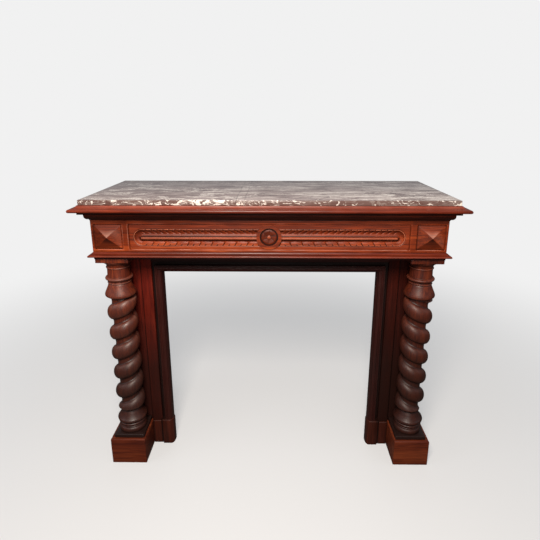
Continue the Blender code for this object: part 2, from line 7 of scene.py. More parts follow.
import bpy
import numpy as np
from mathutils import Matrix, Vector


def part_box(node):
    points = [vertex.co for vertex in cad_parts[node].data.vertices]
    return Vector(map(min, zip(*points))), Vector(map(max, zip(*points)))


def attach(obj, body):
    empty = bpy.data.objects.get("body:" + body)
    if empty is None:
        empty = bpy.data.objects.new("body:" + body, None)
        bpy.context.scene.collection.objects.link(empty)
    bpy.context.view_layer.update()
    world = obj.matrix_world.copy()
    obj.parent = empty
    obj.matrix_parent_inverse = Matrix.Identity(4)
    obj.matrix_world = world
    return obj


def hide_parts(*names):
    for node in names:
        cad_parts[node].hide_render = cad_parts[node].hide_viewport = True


TAU = 2 * np.pi

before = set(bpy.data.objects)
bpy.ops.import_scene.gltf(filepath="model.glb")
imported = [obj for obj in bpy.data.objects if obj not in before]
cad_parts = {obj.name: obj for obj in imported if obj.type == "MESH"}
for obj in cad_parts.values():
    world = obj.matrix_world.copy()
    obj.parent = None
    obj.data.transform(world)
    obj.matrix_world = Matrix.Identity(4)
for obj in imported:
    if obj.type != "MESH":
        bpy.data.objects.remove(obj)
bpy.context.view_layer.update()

# Planes and levels of the mantel, read from its solids
FRIEZE_LOW, FRIEZE_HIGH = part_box("frieze_front")
BED_LOW, BED_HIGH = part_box("bed_moulding_front")
CORNICE_LOW, CORNICE_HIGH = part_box("cornice_front")
PANEL_LOW, PANEL_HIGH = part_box("frieze_panel")
ROUNDEL_LOW, ROUNDEL_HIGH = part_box("roundel")
FACE = FRIEZE_LOW.y
SLAB_LOW, SLAB_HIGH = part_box("marble_top")
WALL = SLAB_HIGH.y
HALF = FRIEZE_HIGH.x
MIDDLE = (ROUNDEL_LOW.z + ROUNDEL_HIGH.z) / 2
ROUNDEL_RADIUS = (ROUNDEL_HIGH.x - ROUNDEL_LOW.x) / 2

# Thickness of the frieze boards, and how far the mouldings reach in over them
BACKING = 0.024

# Sunk fields of the frieze: half height, sides of the square ones, end of the long one, slope, depth
FIELD_HALF = 0.0475
SQUARE_INNER, SQUARE_OUTER = 0.5104, 0.6144
LONG_END = 0.4916
FIELD_SLOPE = 0.0034
FIELD_DEPTH = 0.0042
WELL_DEPTH = 0.0118
SIDE_MARGIN = 0.025

# Carved band of the long panel: its margin and half height, how far it and its bead lie below the
# middle, its rim, channels and bead, and where its nicks lie and how they lean
BAND_MARGIN = 0.0136
BAND_RADIUS = 0.0302
BAND_DROP = 0.0028
BEAD_DROP = 0.0030
RIM_WIDE = 0.0030
CHANNEL_DEEP = 0.0080
BEAD_FOOT = 0.0036
BEAD_HALF = 0.0056
NICK_PITCH = 0.0417
NICK_FIRST = 0.0375
UPPER_LEAN = 1.05
LOWER_LEAN = 0.62

# Columns: radii of collar and core, the strand's height and its half width in turns, the pitch,
# where each twist starts, and the heights of abacus, foot and head
COLLAR_RADIUS = 0.0560
CORE_RADIUS = 0.0345
STRAND_HEIGHT = 0.0200
STRAND_SHARE = 0.36
TWIST_PITCH = 0.0849
STRAND_PHASE = {"left": 0.79, "right": 0.93}
ABACUS_THICK = 0.015
FOOT_TALL = 0.0905
HEAD_TALL = 0.1470


def spread(start, end, step):
    """Evenly spaced values from start to end, about step apart."""
    return np.linspace(start, end, max(2, round(abs(end - start) / step) + 1))


def grid_lines(stops, step, fine, near):
    """Values over the stops' span: step apart, and fine apart within near of each stop."""
    parts = [spread(min(stops), max(stops), step)]
    for stop in stops:
        parts.append(spread(stop - near, stop + near, fine))
    values = np.unique(np.round(np.concatenate(parts), 6))
    return values[(values >= min(stops)) & (values <= max(stops))]


def smooth(t):
    """0 below 0, 1 above 1, and 3t^2 - 2t^3 between."""
    t = np.clip(t, 0.0, 1.0)
    return t * t * (3 - 2 * t)


def ripple(a, b, seed):
    """Slow uneven wave between -1 and 1 over two lengths in metres: four sines with odd periods."""
    rng = np.random.default_rng(seed)
    total = 0.0
    for _ in range(4):
        ka, kb, shift = rng.uniform(15, 90), rng.uniform(15, 90), rng.uniform(0, TAU)
        total = total + np.sin(a * ka + b * kb + shift)
    return total / 4


def hollow_of(height, reach, depth):
    """How deep each grid point lies under the mean of its neighbours, as a share of depth."""
    mean = np.zeros_like(height)
    weight = 0.0
    for shift in range(-reach, reach + 1):
        share = 1.0 - abs(shift) / (reach + 1)
        for axis in (0, 1):
            index = np.clip(np.arange(height.shape[axis]) + shift, 0, height.shape[axis] - 1)
            mean += share * np.take(height, index, axis=axis)
            weight += share
    return (mean / weight - height) / depth


def put_piece(name, points, quads, caps, node, material, hollow=None, crease=38):
    """Make the mesh, turned so that its volume is positive, and set it in the solid's place.

    hollow is what the wood's finish reads: above zero it paints wax and painted shade dark, in hollows
    and under projections, and below zero it paints wear and painted highlights pale.
    """
    flat = points.reshape(-1, 3)
    faces = [quads] + [np.array(cap)[None, :] for cap in caps]
    volume = 0.0
    for group in faces:
        first = flat[group[:, 0]]
        for k in range(1, group.shape[1] - 1):
            volume += np.einsum("ij,ij->", first, np.cross(flat[group[:, k]], flat[group[:, k + 1]]))
    if volume < 0:
        faces = [group[:, ::-1] for group in faces]
    sizes = np.concatenate([np.full(len(group), group.shape[1]) for group in faces])
    corners = np.concatenate([group.ravel() for group in faces])
    mesh = bpy.data.meshes.new(name)
    mesh.vertices.add(len(flat))
    mesh.vertices.foreach_set("co", flat.astype(np.float32).ravel())
    mesh.loops.add(len(corners))
    mesh.loops.foreach_set("vertex_index", corners.astype(np.int32))
    mesh.polygons.add(len(sizes))
    mesh.polygons.foreach_set("loop_start", np.concatenate([[0], np.cumsum(sizes)[:-1]]).astype(np.int32))
    mesh.update(calc_edges=True)
    mesh.validate()
    shade = mesh.attributes.new("hollow", "FLOAT", "POINT")
    values = np.zeros(len(flat)) if hollow is None else hollow.ravel()
    shade.data.foreach_set("value", np.clip(values, -1, 1).astype(np.float32))
    mesh.shade_smooth()
    mesh.set_sharp_from_angle(angle=np.radians(crease))
    mesh.materials.append(material)
    piece = bpy.data.objects.new(name, mesh)
    bpy.context.scene.collection.objects.link(piece)
    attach(piece, "root")
    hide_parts(node)
    return piece


def tube(name, rings, node, material, hollow=None, crease=38):
    """A skin through closed rings (rows, around, 3), with a flat cap on both ends."""
    rows, around = rings.shape[:2]
    index = np.arange(rows * around).reshape(rows, around)
    turned = np.roll(index, -1, axis=1)
    quads = np.stack([index[:-1], turned[:-1], turned[1:], index[1:]], axis=-1).reshape(-1, 4)
    return put_piece(name, rings, quads, [index[0], index[-1]], node, material, hollow, crease)


def plate(name, front, axis, back, node, material, hollow, crease=38):
    """A carved face (rows, columns, 3) with walls to a flat rear at back on the given axis."""
    rows, columns = front.shape[:2]
    index = np.arange(rows * columns).reshape(rows, columns)
    quads = np.stack([index[:-1, :-1], index[:-1, 1:], index[1:, 1:], index[1:, :-1]], axis=-1)
    border = np.concatenate([index[0, :-1], index[:-1, -1], index[-1, :0:-1], index[:0:-1, 0]])
    flat = front.reshape(-1, 3)
    rear = flat[border]
    rear[:, axis] = back
    rim = np.arange(len(border)) + len(flat)
    walls = np.stack([border, rim, np.roll(rim, -1), np.roll(border, -1)], axis=-1)
    quads = np.concatenate([quads.reshape(-1, 4), walls])
    hollow = np.concatenate([hollow.ravel(), np.zeros(len(rear))])
    return put_piece(name, np.concatenate([flat, rear]), quads, [rim], node, material, hollow, crease)


def rounded_ring(half_a, half_b, corner, inset):
    """Outline of a rectangle with round corners, all drawn in by inset: four quarter circles."""
    turn = np.linspace(0, TAU / 4, 6)
    points = []
    for k, (sa, sb) in enumerate(((1, 1), (-1, 1), (-1, -1), (1, -1))):
        t = turn + k * TAU / 4
        points.append(np.stack([sa * (half_a - corner) + (corner - inset) * np.cos(t),
                                sb * (half_b - corner) + (corner - inset) * np.sin(t)], axis=-1))
    return np.concatenate(points)


def block(node, along, corner, ends, material, wobble=0.0002):
    """A board or block with rounded edges, drawn along one axis.

    Its ring is a round-cornered rectangle. Towards each end the ring is drawn in by
    r - sqrt(r^2 - (r - d)^2), where d is the distance to the end and r the end's radius. A slow
    wave pulls its faces in by up to wobble, as no old board is quite true.
    """
    low, high = (np.array(c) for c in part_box(node))
    centre, half = (low + high) / 2, (high - low) / 2
    axis_a, axis_b = [k for k in range(3) if k != along]
    ease = np.linspace(0, TAU / 4, 6)
    places = [low[along] + ends[0] * (1 - np.cos(ease))]
    insets = [ends[0] * (1 - np.sin(ease))]
    middle = spread(low[along] + ends[0], high[along] - ends[1], 0.02)[1:-1]
    places.append(middle)
    insets.append(np.zeros(len(middle)))
    places.append((high[along] - ends[1] * (1 - np.cos(ease)))[::-1])
    insets.append((ends[1] * (1 - np.sin(ease)))[::-1])
    places, insets = np.concatenate(places), np.concatenate(insets)
    rings = []
    for place, inset in zip(places, insets):
        outline = rounded_ring(half[axis_a], half[axis_b], max(corner, inset + 1e-5), inset)
        ring = np.zeros((len(outline), 3))
        ring[:, along] = place
        ring[:, axis_a] = centre[axis_a] + outline[:, 0]
        ring[:, axis_b] = centre[axis_b] + outline[:, 1]
        rings.append(ring)
    rings = np.array(rings)
    wave = ripple(rings[..., 0] + rings[..., 1], rings[..., 2], seed=len(node))
    pull = 1 - wobble * (1 + wave) / 2 / min(half[axis_a], half[axis_b])
    rings[..., axis_a] = centre[axis_a] + (rings[..., axis_a] - centre[axis_a]) * pull
    rings[..., axis_b] = centre[axis_b] + (rings[..., axis_b] - centre[axis_b]) * pull
    return tube(f"fine_{node}", rings, node, material)


def shade(text):
    """An sRGB hex colour as linear red, green, blue and alpha."""
    parts = [int(text[k:k + 2], 16) / 255 for k in (1, 3, 5)]
    return [c / 12.92 if c <= 0.04045 else ((c + 0.055) / 1.055) ** 2.4 for c in parts] + [1.0]


def add(tree, kind, feeds, out=0, stops=None, **settings):
    """Add a node and give back one of its outputs.

    feeds gives its inputs, by name or in their order, a number, a colour or the output that feeds
    them. A Map Range takes the value, the range that it has and the range that it gets.
    """
    made = tree.nodes.new(kind)
    for key, value in settings.items():
        setattr(made, key, value)
    for socket, value in feeds.items() if isinstance(feeds, dict) else enumerate(feeds):
        if isinstance(value, bpy.types.NodeSocket):
            tree.links.new(value, made.inputs[socket])
        else:
            made.inputs[socket].default_value = value
    if stops:
        ramp = made.color_ramp
        for _ in stops[2:]:
            ramp.elements.new(0.5)
        for element, (position, colour) in zip(ramp.elements, stops):
            element.position = position
            element.color = shade(colour)
    return made.outputs[out]


def blank(name):
    """A new material, its node tree and its shader."""
    material = bpy.data.materials.new(name)
    material.use_nodes = True
    return material, material.node_tree, material.node_tree.nodes["Principled BSDF"]


def walnut(name, grain, tones, gloss, crest, shine=0.22, low=0.0, seam=0.0):
    """French-polished walnut, stained red-brown a century ago.

    The eye sees long soft bands of growth rings, short dark pores along the grain, a warm shine,
    darker wax and painted shade in every hollow and paler wear and painted highlights on every
    crest. tones are its dark, middle and light colour, grain the axis its fibres run along, gloss
    its roughness, crest the colour of its wear and painted highlights, shine its reflection, low
    how much darker it is near the floor, a painted shade, and seam the distance from the middle
    of the mantel at which painted shade fills the corner between two boards.
    """
    material, tree, surface = blank(name)
    place = add(tree, "ShaderNodeTexCoord", (), "Object")
    # along the grain the rings are drawn out 18 times and the pores 50 times
    slow, fast = (add(tree, "ShaderNodeMapping", {"Vector": place, "Scale": [
        share if axis == grain else 1 for axis in "xyz"]}) for share in (0.055, 0.02))
    # growth rings, about 5 mm apart, wavering as the trunk did
    waver = add(tree, "ShaderNodeTexNoise", {"Vector": slow, "Scale": 14.0, "Detail": 3.0,
                                             "Roughness": 0.55, "Distortion": 0.6})
    rings = add(tree, "ShaderNodeTexNoise", {"Vector": slow, "Scale": 95.0, "Detail": 5.0,
                                             "Roughness": 0.62, "Distortion": 0.9})
    both = add(tree, "ShaderNodeMath", (waver, rings), operation="ADD")
    figure = add(tree, "ShaderNodeMath", (both, 0.5), operation="MULTIPLY")
    colour = add(tree, "ShaderNodeValToRGB", (figure,), stops=(
        (0.38, tones[0]), (0.50, tones[1]), (0.62, tones[2])))
    # pores are 0.2 mm wide on the real wood, and are drawn 1 mm wide so that they show
    pores = add(tree, "ShaderNodeTexNoise", {"Vector": fast, "Scale": 620.0, "Detail": 2.0,
                                             "Roughness": 0.5})
    pore_mark = add(tree, "ShaderNodeMapRange", (pores, 0.53, 0.66, 0.0, 0.55))
    # hands and dusters wear the crests pale, and painted highlights pale them too, in patches a few
    # centimetres long
    depth = add(tree, "ShaderNodeAttribute", (), "Fac", attribute_name="hollow")
    cloud = add(tree, "ShaderNodeTexNoise", {"Vector": place, "Scale": 26.0, "Detail": 4.0})
    proud = add(tree, "ShaderNodeMapRange", (depth, 0.0, -0.7, 0.0, 1.0))
    wear_and_painted_highlight = add(tree, "ShaderNodeMath", (cloud, proud), operation="MULTIPLY")
    # old wax lies dark in the hollows, and painted shade darkens the hollows, undersides and grooves
    wax_and_painted_light = add(tree, "ShaderNodeMapRange", (depth, 0.03, 0.85, 0.0, 0.93))
    layers = [(pore_mark, "#170806"), (wear_and_painted_highlight, crest), (wax_and_painted_light, "#0f0403")]
    if low:
        # painted shade: darker downwards from about 0.8 m, where less light reaches
        level = add(tree, "ShaderNodeSeparateXYZ", (place,), "Z")
        layers.append((add(tree, "ShaderNodeMapRange", (level, 0.84, 0.36, 0.0, low)), "#1d0f0c"))
    if seam:
        # painted shade in the corner where a board meets the one set back beside it
        across = add(tree, "ShaderNodeSeparateXYZ", (place,), "X")
        apart = add(tree, "ShaderNodeMath", (across,), operation="ABSOLUTE")
        past = add(tree, "ShaderNodeMath", (apart, seam), operation="SUBTRACT")
        off = add(tree, "ShaderNodeMath", (past,), operation="ABSOLUTE")
        layers.append((add(tree, "ShaderNodeMapRange", (off, 0.0012, 0.0042, 0.85, 0.0)), "#0f0403"))
    for share, tone in layers:
        colour = add(tree, "ShaderNodeMix", {0: share, 6: colour, 7: shade(tone)}, 2, data_type="RGBA")
    tree.links.new(colour, surface.inputs["Base Color"])
    # cloths have polished it unevenly
    rub = add(tree, "ShaderNodeTexNoise", {"Vector": place, "Scale": 9.0, "Detail": 3.0})
    rough = add(tree, "ShaderNodeMapRange", (rub, 0.3, 0.7, gloss - 0.06, gloss + 0.08))
    tree.links.new(rough, surface.inputs["Roughness"])
    relief = add(tree, "ShaderNodeMath", (figure, pores), operation="SUBTRACT")
    bump = add(tree, "ShaderNodeBump", {"Height": relief, "Strength": 0.20, "Distance": 0.0005})
    tree.links.new(bump, surface.inputs["Normal"])
    surface.inputs["IOR"].default_value = 1.5
    surface.inputs["Specular IOR Level"].default_value = shine
    return material


def marble():
    """Polished red-brown marble.

    The eye sees a clouded mauve ground, long pale streaks, thin white veins, cream patches along
    the front edge and two fine dark joints across the slab.
    """
    material, tree, surface = blank("polished_red_marble")
    place = add(tree, "ShaderNodeTexCoord", (), "Object")
    along, back, _ = add(tree, "ShaderNodeSeparateXYZ", (place,)).node.outputs
    drawn = add(tree, "ShaderNodeMapping", {"Vector": place, "Scale": (0.75, 2.2, 1.6),
                                            "Rotation": (0.0, 0.0, 0.22)})
    push = add(tree, "ShaderNodeTexNoise", {"Vector": drawn, "Scale": 6.0, "Detail": 5.0,
                                            "Roughness": 0.6}, "Color")
    bent = add(tree, "ShaderNodeMix", {0: 0.12, 4: drawn, 5: push}, 1, data_type="VECTOR")
    cloud = add(tree, "ShaderNodeTexNoise", {"Vector": bent, "Scale": 16.0, "Detail": 10.0,
                                             "Roughness": 0.72})
    colour = add(tree, "ShaderNodeValToRGB", (cloud,), stops=(
        (0.32, "#4f403e"), (0.46, "#776866"), (0.56, "#8e817e"), (0.68, "#b9afab")))
    # streaks 5 to 10 mm wide and up to 200 mm long, which lie along the slab
    flow = add(tree, "ShaderNodeMapping", {"Vector": place, "Scale": (0.12, 1.0, 0.8),
                                           "Rotation": (0.0, 0.0, 0.03)})
    streak = add(tree, "ShaderNodeTexNoise", {"Vector": flow, "Scale": 42.0, "Detail": 8.0,
                                              "Roughness": 0.70, "Distortion": 1.0})
    drift = add(tree, "ShaderNodeMapRange", (along, -0.65, 0.65, -0.05, 0.05))
    richer = add(tree, "ShaderNodeMath", (streak, drift), operation="ADD")
    pale = add(tree, "ShaderNodeMapRange", (richer, 0.54, 0.60, 0.0, 0.62))
    # thin veins: the lines where a noise crosses its middle value, here and there
    crack = add(tree, "ShaderNodeTexNoise", {"Vector": bent, "Scale": 8.0, "Detail": 7.0,
                                             "Roughness": 0.6})
    off = add(tree, "ShaderNodeMath", (crack, 0.5), operation="SUBTRACT")
    away = add(tree, "ShaderNodeMath", (off,), operation="ABSOLUTE")
    line = add(tree, "ShaderNodeMapRange", (away, 0.0, 0.020, 0.95, 0.0))
    some = add(tree, "ShaderNodeTexNoise", {"Vector": bent, "Scale": 4.0, "Detail": 2.0})
    where = add(tree, "ShaderNodeMapRange", (some, 0.40, 0.52, 0.1, 1.0))
    vein = add(tree, "ShaderNodeMath", (line, where), operation="MULTIPLY")
    # the edge is redder and carries cream patches 10 to 50 mm long
    edge = add(tree, "ShaderNodeMapRange", (back, SLAB_LOW.y + 0.001, SLAB_LOW.y + 0.012, 1.0, 0.0))
    redder = add(tree, "ShaderNodeMath", (edge, 0.80), operation="MULTIPLY")
    lying = add(tree, "ShaderNodeMapping", {"Vector": place, "Scale": (0.6, 0.8, 1.1),
                                            "Rotation": (0.0, 0.5, 0.0)})
    patch = add(tree, "ShaderNodeTexNoise", {"Vector": lying, "Scale": 44.0, "Detail": 6.0,
                                             "Roughness": 0.62, "Distortion": 2.2})
    near = add(tree, "ShaderNodeMapRange", (back, SLAB_LOW.y + 0.001, SLAB_LOW.y + 0.050, 0.035, -0.14))
    # most of them lie left of the middle
    off_bunch = add(tree, "ShaderNodeMath", (along, 0.22), operation="ADD")
    bunch = add(tree, "ShaderNodeMath", (off_bunch,), operation="ABSOLUTE")
    bunched = add(tree, "ShaderNodeMapRange", (bunch, 0.08, 0.26, 0.040, -0.045))
    amount = add(tree, "ShaderNodeMath", (patch, near), operation="ADD")
    total = add(tree, "ShaderNodeMath", (amount, bunched), operation="ADD")
    spot = add(tree, "ShaderNodeMapRange", (total, 0.568, 0.590, 0.0, 0.85))
    # two fine joints across the slab, 0.4 mm wide on the real one and drawn 1.4 mm wide
    wander = add(tree, "ShaderNodeMapRange", (some, 0.0, 1.0, -0.004, 0.004))
    across = add(tree, "ShaderNodeMath", (along, wander), operation="ADD")
    from_both = add(tree, "ShaderNodeMath", (across, 0.0965), operation="ADD")
    from_middle = add(tree, "ShaderNodeMath", (from_both,), operation="ABSOLUTE")
    gap = add(tree, "ShaderNodeMath", (from_middle, 0.0145), operation="SUBTRACT")
    from_joint = add(tree, "ShaderNodeMath", (gap,), operation="ABSOLUTE")
    joint = add(tree, "ShaderNodeMapRange", (from_joint, 0.0004, 0.0010, 0.75, 0.0))
    # a small white chip low on the front right corner
    chipped = SLAB_HIGH.x, SLAB_LOW.y, SLAB_LOW.z + 0.004
    reach = add(tree, "ShaderNodeVectorMath", (place, chipped), "Value", operation="DISTANCE")
    chip = add(tree, "ShaderNodeMapRange", (reach, 0.007, 0.010, 0.9, 0.0))
    for share, tone in ((pale, "#cfc8c3"), (vein, "#e0dad4"), (redder, "#4d332c"),
                        (spot, "#d6cec6"), (joint, "#2e2220"), (chip, "#d9d2c8")):
        colour = add(tree, "ShaderNodeMix", {0: share, 6: colour, 7: shade(tone)}, 2, data_type="RGBA")
    tree.links.new(colour, surface.inputs["Base Color"])
    surface.inputs["Roughness"].default_value = 0.17
    surface.inputs["IOR"].default_value = 1.55
    return material


# How far from the middle a board behind a column meets the one beside it
BOARD_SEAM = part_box("back_board_right")[0].x + 0.0024

# Dark, middle and light tone of each stained walnut. The frieze's lighter LIT tones and the darker tones of
# the lower boards, blocks, feet and columns are partly the wood's own tone and partly painted light that
# falls off downwards
LIT = ("#521c0b", "#732b10", "#95401a")
RED = ("#3f140a", "#581d0e", "#702b17")
BOARD_RED = ("#44100a", "#60170d", "#782415")
# tones of the right boards: the board tones darkened, a painted shade
BOARD_PAINTED_SHADE = ("#200603", "#300b06", "#40130b")
BLOCK = ("#36110a", "#522010", "#693019")
FOOT = ("#1f0a06", "#31120a", "#42190e")
DEEP = ("#3a120a", "#58200f", "#763319")
DEEPER = ("#2c0d07", "#46180b", "#612813")
DUSK = ("#1c0504", "#2d0a07", "#3b130e")
finish = {
    "moulding_x": walnut("polished_walnut_moulding", "x", RED, 0.34, "#a9685a"),
    "moulding_y": walnut("polished_walnut_side_moulding", "y", RED, 0.34, "#a9685a"),
    "frieze_x": walnut("polished_walnut_frieze", "x", LIT, 0.38, "#b58c7c"),
    "frieze_y": walnut("polished_walnut_side_frieze", "y", LIT, 0.38, "#b58c7c"),
    "carved": walnut("waxed_carved_walnut", "x", LIT, 0.46, "#b06a4e"),
    "column_left": walnut("waxed_turned_walnut", "z", DEEP, 0.43, "#8a6b60", shine=0.33, low=0.80),
    "column_right": walnut("waxed_darker_turned_walnut", "z", DEEPER, 0.43, "#70463a", shine=0.26,
                           low=0.80),
    "plinth": walnut("waxed_walnut_block", "x", BLOCK, 0.46, "#8a5a42", shine=0.16),
    "foot": walnut("waxed_walnut_foot", "z", FOOT, 0.46, "#6b4030"),
    "jamb": walnut("waxed_walnut_board", "z", BOARD_RED, 0.42, "#8c4436", shine=0.13, low=0.88,
                   seam=BOARD_SEAM),
    # the same board finish darker, a painted shade on the right jamb
    "jamb_painted_shade": walnut("waxed_walnut_board_painted_shade", "z", BOARD_PAINTED_SHADE, 0.42, "#6e3a2e", shine=0.10,
                        low=0.88, seam=BOARD_SEAM),
    "lintel": walnut("waxed_walnut_lintel", "x", DUSK, 0.44, "#4b2a22"),
    "surround": walnut("dark_walnut_surround", "z", DUSK, 0.42, "#6b4a44", shine=0.24, low=0.35),
    "surround_x": walnut("dark_walnut_surround_head", "x", DUSK, 0.40, "#4b2a22"),
    "marble": marble(),
}


def quarter(centre, reach, start, end, steps=9):
    """Points on an arc of an ellipse, angles in degrees."""
    t = np.radians(np.linspace(start, end, steps))
    return np.stack([centre[0] + reach[0] * np.cos(t), centre[1] + reach[1] * np.sin(t)], axis=-1)


def cornice_section():
    """Cornice as (out, height): fillet, quarter round, two steps, round nose and a cove on top.

    Behind its face it lies on the frieze, and it carries the slab, so that no light comes through.
    """
    base, top = CORNICE_LOW.z, CORNICE_HIGH.z
    lip = 0.0475
    nose = base + 0.0405
    return np.concatenate([
        [(-BACKING, FRIEZE_HIGH.z), (-0.0015, FRIEZE_HIGH.z), (-0.0015, base)],
        [(0.001, base), (0.001, base + 0.0032)],
        quarter((0.001, base + 0.0170), (0.0130, 0.0135), -90, 0),
        quarter((0.0137, base + 0.0243), (0.0008, 0.0008), -10, 90, 4),
        [(0.0200, base + 0.0251), (0.0284, base + 0.0251)],
        quarter((0.0283, base + 0.0258), (0.0007, 0.0007), -90, 0, 4),
        [(0.0290, base + 0.0343)],
        quarter((lip - 0.0010, nose), (0.0055, 0.0060), -90, 90, 15),
        quarter((0.0442, top), (0.0162, top - nose - 0.0064), 270, 180, 12)[1:],
        [(0.0215, top), (0.0215, SLAB_LOW.z), (-BACKING, SLAB_LOW.z)],
    ])


def bed_section():
    """Bed moulding as (out, height): a round nose, a cove above it, and its bed on the frieze."""
    base, top = BED_LOW.z, BED_HIGH.z
    nose = base + 0.0060
    return np.concatenate([
        [(-BACKING, base), (0.0, base), (0.004, base + 0.0004)],
        quarter((0.012, nose), (0.004, 0.004), -70, 88, 11),
        [(0.0112, nose + 0.0046)],
        quarter((0.0100, top), (0.0098, top - nose - 0.0050), 270, 180, 10),
        [(-0.0015, top), (-0.0015, FRIEZE_LOW.z), (-BACKING, FRIEZE_LOW.z)],
    ])


def run(first, last, step=0.012):
    """Rings carried straight from one mitred end of a moulding to the other, step apart."""
    length = np.linalg.norm((last - first).mean(axis=0))
    return first + (last - first) * spread(0, 1, step / length)[:, None, None]


def head_mouldings():
    """Cornice and bed moulding round three sides, mitred where a point lies as far out as forward.

    Painted shade lies under each projection, and painted highlights lie on the quarter round,
    the noses and the cove: their share is read off by height.
    """
    cornice_painted_light = ((0.0, 0.0032, 0.0060, 0.0145, 0.0180, 0.0240, 0.0252, 0.0262, 0.0340, 0.0380,
                    0.0460, 0.0564),
                   (0.55, 0.78, 0.80, 0.72, 0.05, -0.30, 0.80, 0.78, 0.62, 0.10, -0.10, -0.32))
    bed_painted_light = ((0.0, 0.0004, 0.0030, 0.0060, 0.0100, 0.0112, 0.0135, 0.0199),
               (0.75, 0.60, 0.15, -0.25, 0.0, 0.40, 0.05, 0.25))
    for label, section, foot, wax_and_painted_light in (("cornice", cornice_section(), CORNICE_LOW.z, cornice_painted_light),
                                      ("bed_moulding", bed_section(), BED_LOW.z, bed_painted_light)):
        out, height = section[:, 0], section[:, 1]
        depth = np.interp(height - foot, *wax_and_painted_light)

        def corner(side, deep):
            """The section at one side of the mantel, each point at its own depth."""
            return np.stack([side * (HALF + out), deep + 0 * out, height], axis=-1)

        front = run(corner(-1, FACE - out), corner(1, FACE - out))
        front[..., 1] += 0.00015 * ripple(front[..., 0], front[..., 2] * 3, 3)
        tube(f"fine_{label}_front", front, f"{label}_front", finish["moulding_x"],
             np.broadcast_to(depth, front.shape[:2]))
        for side, word in ((-1, "left"), (1, "right")):
            rings = run(corner(side, FACE - out + 0.0003), corner(side, WALL))
            tube(f"fine_{label}_{word}", rings, f"{label}_{word}", finish["moulding_y"],
                 np.broadcast_to(depth, rings.shape[:2]))


def within(a, b, low, high):
    """Distance inside a rectangle's nearest side, and below zero outside it."""
    return np.minimum(np.minimum(a - low[0], high[0] - a), np.minimum(b - low[1], high[1] - b))


def sunk(a, b, low, high, slope, depth):
    """Depth of a sunk field: depth times the share of the slope that lies inside the border.

    A slope over 2 mm wide is a soft curve, and a narrower one is straight.
    """
    share = within(a, b, low, high) / slope
    return depth * (smooth(share) if slope > 0.002 else np.clip(share, 0, 1))


def arris(a, b, low, high, radius):
    """Rounding of a board's border: r - sqrt(r^2 - (r - d)^2) at a distance d from it."""
    d = np.clip(within(a, b, low, high), 0, radius)
    return radius - np.sqrt(np.maximum(0, radius ** 2 - (radius - d) ** 2))


def slope_wear_and_shade(deep, full):
    """Share of the slope into a sunk field, for paler wear and, on some slopes, painted shade: one at its
    upper edge and none at its foot.
    """
    share = deep / full
    return smooth((share - 0.02) / 0.10) * smooth((0.90 - share) / 0.35)


